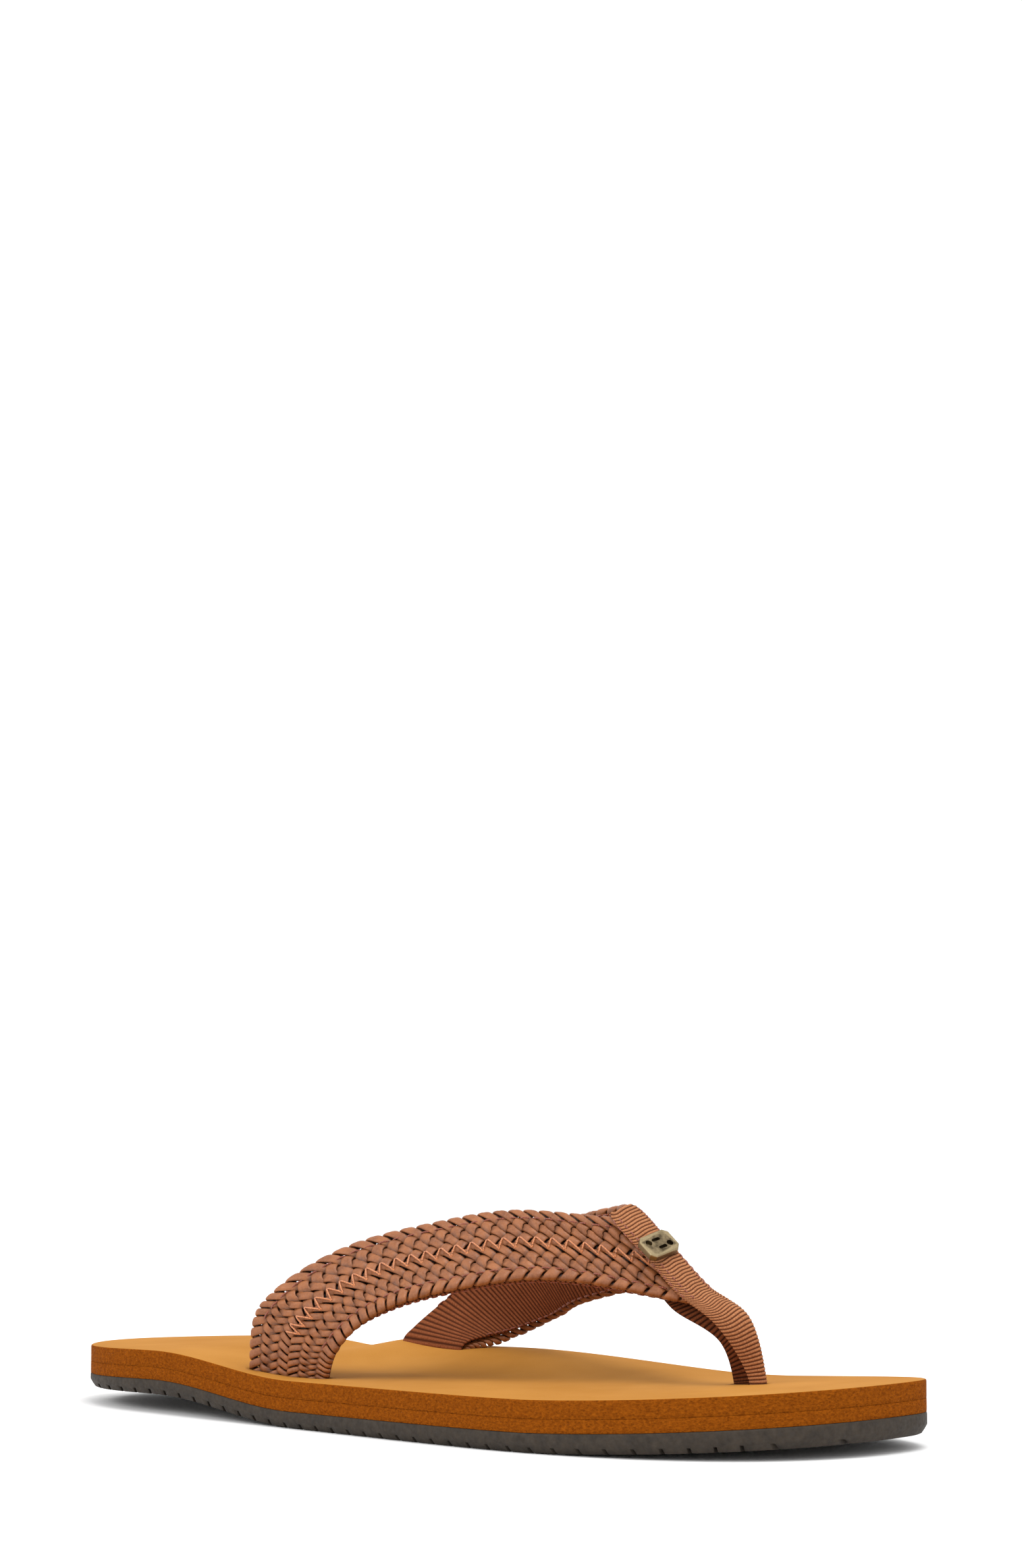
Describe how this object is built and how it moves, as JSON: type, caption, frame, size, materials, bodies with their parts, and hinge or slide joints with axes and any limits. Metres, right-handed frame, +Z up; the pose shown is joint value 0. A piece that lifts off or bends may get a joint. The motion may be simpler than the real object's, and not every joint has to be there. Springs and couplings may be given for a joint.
{
  "type": "flip flop",
  "caption": "Right-foot flip flop: laminated foam sole on a rubber outsole, plaited leather straps meeting under a folded webbing toe thong.",
  "frame": {"origin": "on the ground under the middle of the sole's bounding box", "axes": "+Z up, toe towards -Y and heel towards +Y, outer side of the foot towards -X"},
  "size_m": [0.1019, 0.29, 0.0646],
  "materials": {
    "outsole_rubber": "moulded dark olive grey rubber, matte, with a notched lower rim",
    "midsole_foam": "cut orange-brown foam with a fine pebbled sidewall, matte",
    "footbed_foam": "smooth brushed tan foam, soft matte",
    "anchor_cloth": "woven patch cloth, matte",
    "strap_leather": "warm brown plaited leather with a soft sheen and dark gaps",
    "lining_webbing": "dark brown ribbed grosgrain webbing",
    "band_webbing": "rust-brown ribbed grosgrain webbing",
    "zigzag_thread": "light orange-brown sewing thread",
    "seam_thread": "red-brown sewing thread",
    "badge_brass": "antiqued brass with dark recesses and worn bright edges"
  },
  "bodies": {
    "root": {"outsole": "outsole_rubber", "midsole": "midsole_foam", "footbed": "footbed_foam", "outer_strap_anchor": "anchor_cloth", "inner_strap_anchor": "anchor_cloth", "toe_anchor": "anchor_cloth", "outer_rear_plait": "strap_leather", "outer_front_plait": "strap_leather", "outer_lining": "lining_webbing", "outer_zigzag_thread": "zigzag_thread", "outer_rear_thread": "seam_thread", "outer_front_thread": "seam_thread", "inner_rear_plait": "strap_leather", "inner_front_plait": "strap_leather", "inner_lining": "lining_webbing", "inner_zigzag_thread": "zigzag_thread", "inner_rear_thread": "seam_thread", "inner_front_thread": "seam_thread", "thong_band": "band_webbing", "thong_inner_ribbon": "band_webbing", "band_outer_thread": "seam_thread", "band_inner_thread": "seam_thread", "badge": "badge_brass", "badge_washer": "badge_brass"}
  },
  "joints": []
}
